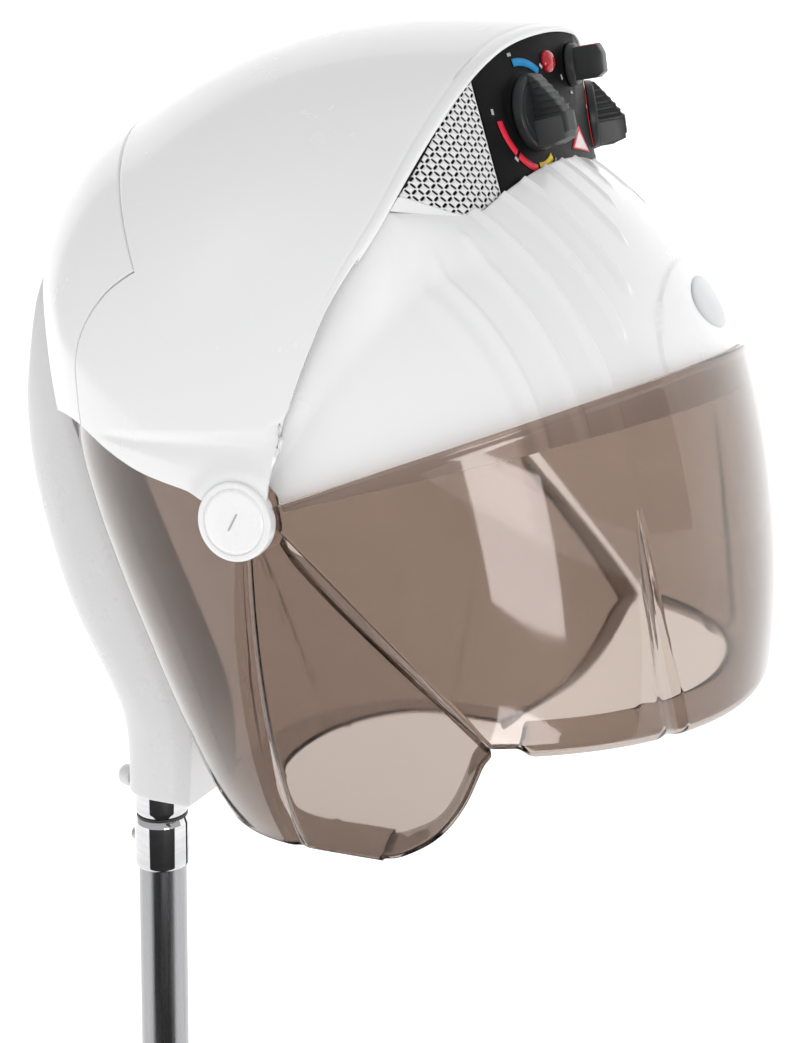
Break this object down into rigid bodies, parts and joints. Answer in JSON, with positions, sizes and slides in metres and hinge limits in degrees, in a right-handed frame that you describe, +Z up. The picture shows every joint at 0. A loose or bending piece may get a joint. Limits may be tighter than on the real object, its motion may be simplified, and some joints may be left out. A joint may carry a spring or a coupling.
{
  "type": "hood hair dryer",
  "caption": "Salon hood hair dryer: blower hood with control face, swing-up smoked visor and rear bowl, on a curved arm that swivels on a column.",
  "frame": {"origin": "centre of the column's cut lower end", "axes": "+Z up along the column; the wearer's face looks along -Y; +X is the wearer's left"},
  "size_m": [0.4164, 0.4882, 0.7699],
  "materials": {
    "gloss_white": "gloss",
    "smoked_plastic": "clear gloss",
    "panel_black": "satin",
    "knob_black": "satin",
    "grille_weave": "woven pattern",
    "lamp_red": "clear gloss",
    "badge_grey": "satin",
    "chrome": "polished",
    "satin_tube": "satin",
    "steel": "plain",
    "zinc_plate": "zinc plated",
    "nylon_black": "matte",
    "grey_plastic": "matte",
    "bonnet_white": "satin",
    "switch_plastic": "matte",
    "mica_board": "matte"
  },
  "bodies": {
    "column": {"column_tube": "satin_tube", "column_foot_plug": "nylon_black", "column_top_plug": "nylon_black", "swivel_collar": "chrome", "swivel_washer": "nylon_black", "collar_screw": "zinc_plate"},
    "arm": {"arm_shell": "gloss_white", "arm_front_cover": "gloss_white", "arm_sleeve": "chrome", "arm_base_plate": "gloss_white", "cord_gland": "grey_plastic", "arm_spine": "steel", "tilt_lug": "steel"},
    "visor": {"visor": "smoked_plastic"},
    "timer_knob": {"timer_knob": "knob_black"},
    "temperature_knob": {"temperature_knob": "knob_black"},
    "speed_knob": {"speed_knob": "knob_black"},
    "impeller": {"impeller": "grey_plastic", "motor_shaft": "steel"},
    "hood": {"main_casing": "gloss_white", "rear_cover": "gloss_white", "front_dome": "gloss_white", "control_panel": "panel_black", "grille_right": "grille_weave", "grille_left": "grille_weave", "blank_badge": "badge_grey", "pilot_lamp": "lamp_red", "timer_body": "switch_plastic", "thermostat_body": "switch_plastic", "speed_switch_body": "switch_plastic", "visor_pivot_right": "gloss_white", "visor_pivot_left": "gloss_white", "friction_washer_right": "nylon_black", "friction_washer_left": "nylon_black", "pivot_nut_right": "zinc_plate", "pivot_nut_left": "zinc_plate", "rear_bowl": "smoked_plastic", "inner_bonnet": "bonnet_white", "chassis_plate": "zinc_plate", "fan_housing": "zinc_plate", "fan_motor": "steel", "heater_frame": "mica_board", "heating_element": "steel", "thermal_cutout": "switch_plastic", "terminal_block": "switch_plastic", "tilt_bracket": "zinc_plate", "tilt_pin": "steel", "hinge_cover": "gloss_white"}
  },
  "joints": [
    {"name": "arm_swivel", "type": "hinge", "parent": "column", "child": "arm", "pos_m": [0, 0, 0.256], "axis": [0, 0, 1], "range_deg": [-170, 170]},
    {"name": "hood_tilt", "type": "hinge", "parent": "arm", "child": "hood", "pos_m": [0, 0.038, 0.645], "axis": [-1, 0, 0], "range_deg": [0, 30]},
    {"name": "visor_lift", "type": "hinge", "parent": "hood", "child": "visor", "pos_m": [0, -0.166, 0.511], "axis": [-1, 0, 0], "range_deg": [0, 31]},
    {"name": "timer_turn", "type": "hinge", "parent": "hood", "child": "timer_knob", "pos_m": [-0.062, -0.26586, 0.71113], "axis": [0.2508, 0.9529, -0.1705], "range_deg": [0, 300]},
    {"name": "temperature_turn", "type": "hinge", "parent": "hood", "child": "temperature_knob", "pos_m": [0.061, -0.2642, 0.71876], "axis": [-0.2508, 0.9529, -0.1705], "range_deg": [0, 270]},
    {"name": "speed_turn", "type": "hinge", "parent": "hood", "child": "speed_knob", "pos_m": [-0.008, -0.27033, 0.74102], "axis": [0, 0.9927, -0.1203], "range_deg": [0, 90]},
    {"name": "fan_spin", "type": "hinge", "parent": "hood", "child": "impeller", "pos_m": [0, -0.166, 0.66], "axis": [0, 0, 1], "continuous": true}
  ]
}
